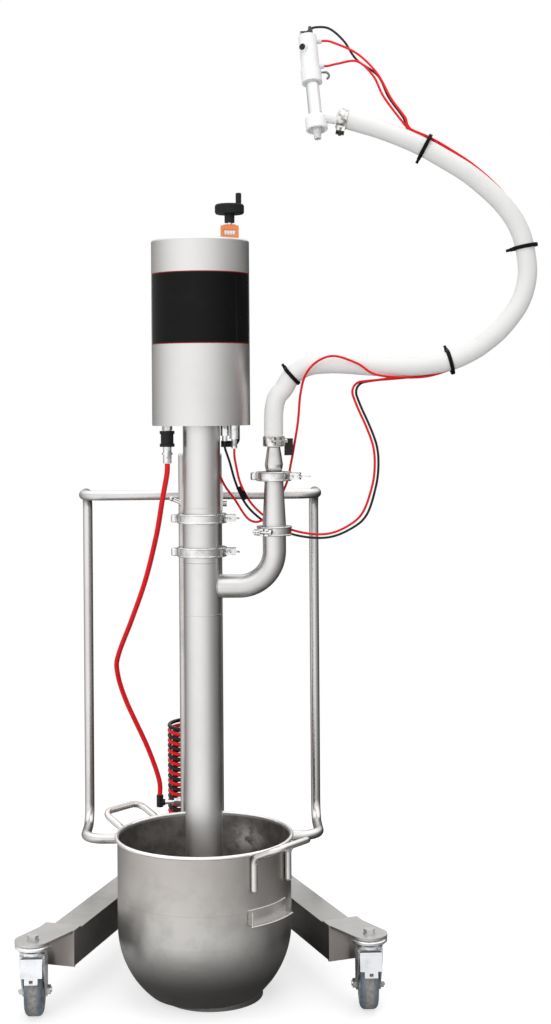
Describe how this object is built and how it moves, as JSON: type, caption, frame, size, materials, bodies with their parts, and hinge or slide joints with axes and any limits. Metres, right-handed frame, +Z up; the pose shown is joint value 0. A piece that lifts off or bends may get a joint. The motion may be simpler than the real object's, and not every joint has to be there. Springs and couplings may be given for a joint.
{
  "type": "volumetric depositor",
  "caption": "Piston depositor on a wheeled stand: stroke drive in a round housing over a suction column and bowl, outlet with hose and shut-off nozzle.",
  "frame": {"origin": "on the floor, in the middle of the footprint of the stand and its casters", "axes": "+Z up, -Y towards the user and the bowl, +X to the side of the outlet"},
  "size_m": [0.9778, 0.6599, 1.8382],
  "materials": {
    "frame_steel": "brushed",
    "satin_steel": "satin",
    "bright_steel": "polished",
    "zinc": "bright zinc",
    "tyre_grey": "worn",
    "bowl_steel": "scuffed",
    "aluminium": "satin",
    "white_plastic": "matte",
    "clear_plastic": "clear",
    "black_plastic": "satin",
    "label_black": "gloss",
    "orange_plastic": "satin",
    "white_hose": "matte",
    "red_tube": "gloss",
    "black_tube": "gloss"
  },
  "bodies": {
    "stand": {"legs": "frame_steel", "cross_beam": "frame_steel", "caster_plates": "frame_steel", "swivel_bolts": "bright_steel", "mast": "frame_steel", "mast_cap": "white_plastic", "handle_frame": "frame_steel", "pump_arm": "frame_steel", "housing_shell": "satin_steel", "housing_lid": "satin_steel", "housing_base": "satin_steel", "label_panel": "label_black", "position_indicator": "orange_plastic", "air_cylinder": "aluminium", "upper_tube": "satin_steel", "valve_barrel": "satin_steel", "lower_tube": "satin_steel", "tri_clamps": "satin_steel", "hand_screws": "bright_steel", "clamp_gaskets": "white_plastic", "outlet_cone": "satin_steel", "hose_barb": "bright_steel", "hose_clamps": "bright_steel", "product_hose": "white_hose", "red_tube": "red_tube", "signal_tube": "red_tube", "black_tube": "black_tube", "hose_ties": "black_plastic", "air_hose": "red_tube", "air_fittings": "bright_steel", "black_fittings": "black_plastic", "coil_black": "black_tube", "coil_red": "red_tube", "gun_cylinder": "white_plastic", "gun_tube": "satin_steel", "gun_valve_body": "white_plastic", "gun_tip": "clear_plastic"},
    "front_left_caster": {"front_left_fork": "zinc"},
    "front_left_wheel": {"front_left_wheel": "tyre_grey"},
    "front_left_pedal": {"front_left_pedal": "zinc"},
    "front_right_caster": {"front_right_fork": "zinc"},
    "front_right_wheel": {"front_right_wheel": "tyre_grey"},
    "front_right_pedal": {"front_right_pedal": "zinc"},
    "rear_left_caster": {"rear_left_fork": "zinc"},
    "rear_left_wheel": {"rear_left_wheel": "tyre_grey"},
    "rear_right_caster": {"rear_right_fork": "zinc"},
    "rear_right_wheel": {"rear_right_wheel": "tyre_grey"},
    "bowl": {"bowl": "bowl_steel", "bowl_fittings": "bowl_steel"},
    "handwheel": {"handwheel": "black_plastic", "spindle": "bright_steel"},
    "crank_knob": {"crank_knob": "black_plastic"},
    "stroke_stop": {"stroke_stop": "bright_steel"},
    "plunger": {"drive_rod": "bright_steel", "product_piston": "white_plastic"},
    "foot_ball": {"foot_ball": "bright_steel"},
    "outlet_ball": {"outlet_ball": "bright_steel"},
    "slide_sleeve": {"slide_sleeve": "black_plastic"},
    "trigger_button": {"trigger_button": "black_plastic"},
    "gun_needle": {"gun_needle": "bright_steel"}
  },
  "joints": [
    {"name": "front_left_swivel", "type": "hinge", "parent": "stand", "child": "front_left_caster", "pos_m": [-0.3048, -0.26579, 0.13], "axis": [0, 0, 1], "continuous": true},
    {"name": "front_left_roll", "type": "hinge", "parent": "front_left_caster", "child": "front_left_wheel", "pos_m": [-0.3048, -0.23579, 0.046], "axis": [1, 0, 0], "continuous": true},
    {"name": "front_left_brake", "type": "hinge", "parent": "front_left_caster", "child": "front_left_pedal", "pos_m": [-0.3048, -0.27979, 0.112], "axis": [1, 0, 0], "range_deg": [0, 12], "stiffness_Nm_per_rad": 4, "springref_deg": -5.73},
    {"name": "front_right_swivel", "type": "hinge", "parent": "stand", "child": "front_right_caster", "pos_m": [0.3048, -0.26579, 0.13], "axis": [0, 0, 1], "continuous": true},
    {"name": "front_right_roll", "type": "hinge", "parent": "front_right_caster", "child": "front_right_wheel", "pos_m": [0.3048, -0.23579, 0.046], "axis": [1, 0, 0], "continuous": true},
    {"name": "front_right_brake", "type": "hinge", "parent": "front_right_caster", "child": "front_right_pedal", "pos_m": [0.3048, -0.27979, 0.112], "axis": [1, 0, 0], "range_deg": [0, 12], "stiffness_Nm_per_rad": 4, "springref_deg": -5.73},
    {"name": "rear_left_swivel", "type": "hinge", "parent": "stand", "child": "rear_left_caster", "pos_m": [-0.12992, 0.25687, 0.13], "axis": [0, 0, 1], "continuous": true},
    {"name": "rear_left_roll", "type": "hinge", "parent": "rear_left_caster", "child": "rear_left_wheel", "pos_m": [-0.12992, 0.28687, 0.046], "axis": [1, 0, 0], "continuous": true},
    {"name": "rear_right_swivel", "type": "hinge", "parent": "stand", "child": "rear_right_caster", "pos_m": [0.12992, 0.25687, 0.13], "axis": [0, 0, 1], "continuous": true},
    {"name": "rear_right_roll", "type": "hinge", "parent": "rear_right_caster", "child": "rear_right_wheel", "pos_m": [0.12992, 0.28687, 0.046], "axis": [1, 0, 0], "continuous": true},
    {"name": "bowl_turn", "type": "hinge", "parent": "stand", "child": "bowl", "pos_m": [0.005, -0.14744, 0], "axis": [0, 0, 1], "range_deg": [-15, 15]},
    {"name": "stroke_setting", "type": "hinge", "parent": "stand", "child": "handwheel", "pos_m": [0.061, -0.14744, 1.47], "axis": [0, 0, 1], "range_deg": [0, 2165]},
    {"name": "crank_knob_spin", "type": "hinge", "parent": "handwheel", "child": "crank_knob", "pos_m": [0.07796, -0.15804, 1.495], "axis": [0, 0, 1], "continuous": true},
    {"name": "stroke_stop_travel", "type": "slide", "parent": "stand", "child": "stroke_stop", "axis": [0, 0, 1], "range_m": [-0.03, 0]},
    {"name": "plunger_stroke", "type": "slide", "parent": "stand", "child": "plunger", "axis": [0, 0, 1], "range_m": [0, 0.06]},
    {"name": "foot_valve_lift", "type": "slide", "parent": "stand", "child": "foot_ball", "axis": [0, 0, 1], "range_m": [0, 0.015]},
    {"name": "outlet_valve_lift", "type": "slide", "parent": "stand", "child": "outlet_ball", "axis": [0, 0, 1], "range_m": [0, 0.012]},
    {"name": "air_valve_slide", "type": "slide", "parent": "stand", "child": "slide_sleeve", "axis": [0, 0, 1], "range_m": [-0.006, 0]},
    {"name": "trigger_press", "type": "slide", "parent": "stand", "child": "trigger_button", "axis": [0.6003, 0.7793, -0.1798], "range_m": [0, 0.003], "stiffness_N_per_m": 300, "springref_m": -0.002},
    {"name": "needle_lift", "type": "slide", "parent": "stand", "child": "gun_needle", "axis": [-0.0698, 0.275, 0.9589], "range_m": [0, 0.01], "stiffness_N_per_m": 400, "springref_m": -0.01}
  ],
  "couplings": [
    {"joint": "stroke_setting", "follows": "stroke_stop_travel", "rad_per_m": -1256.6}
  ]
}
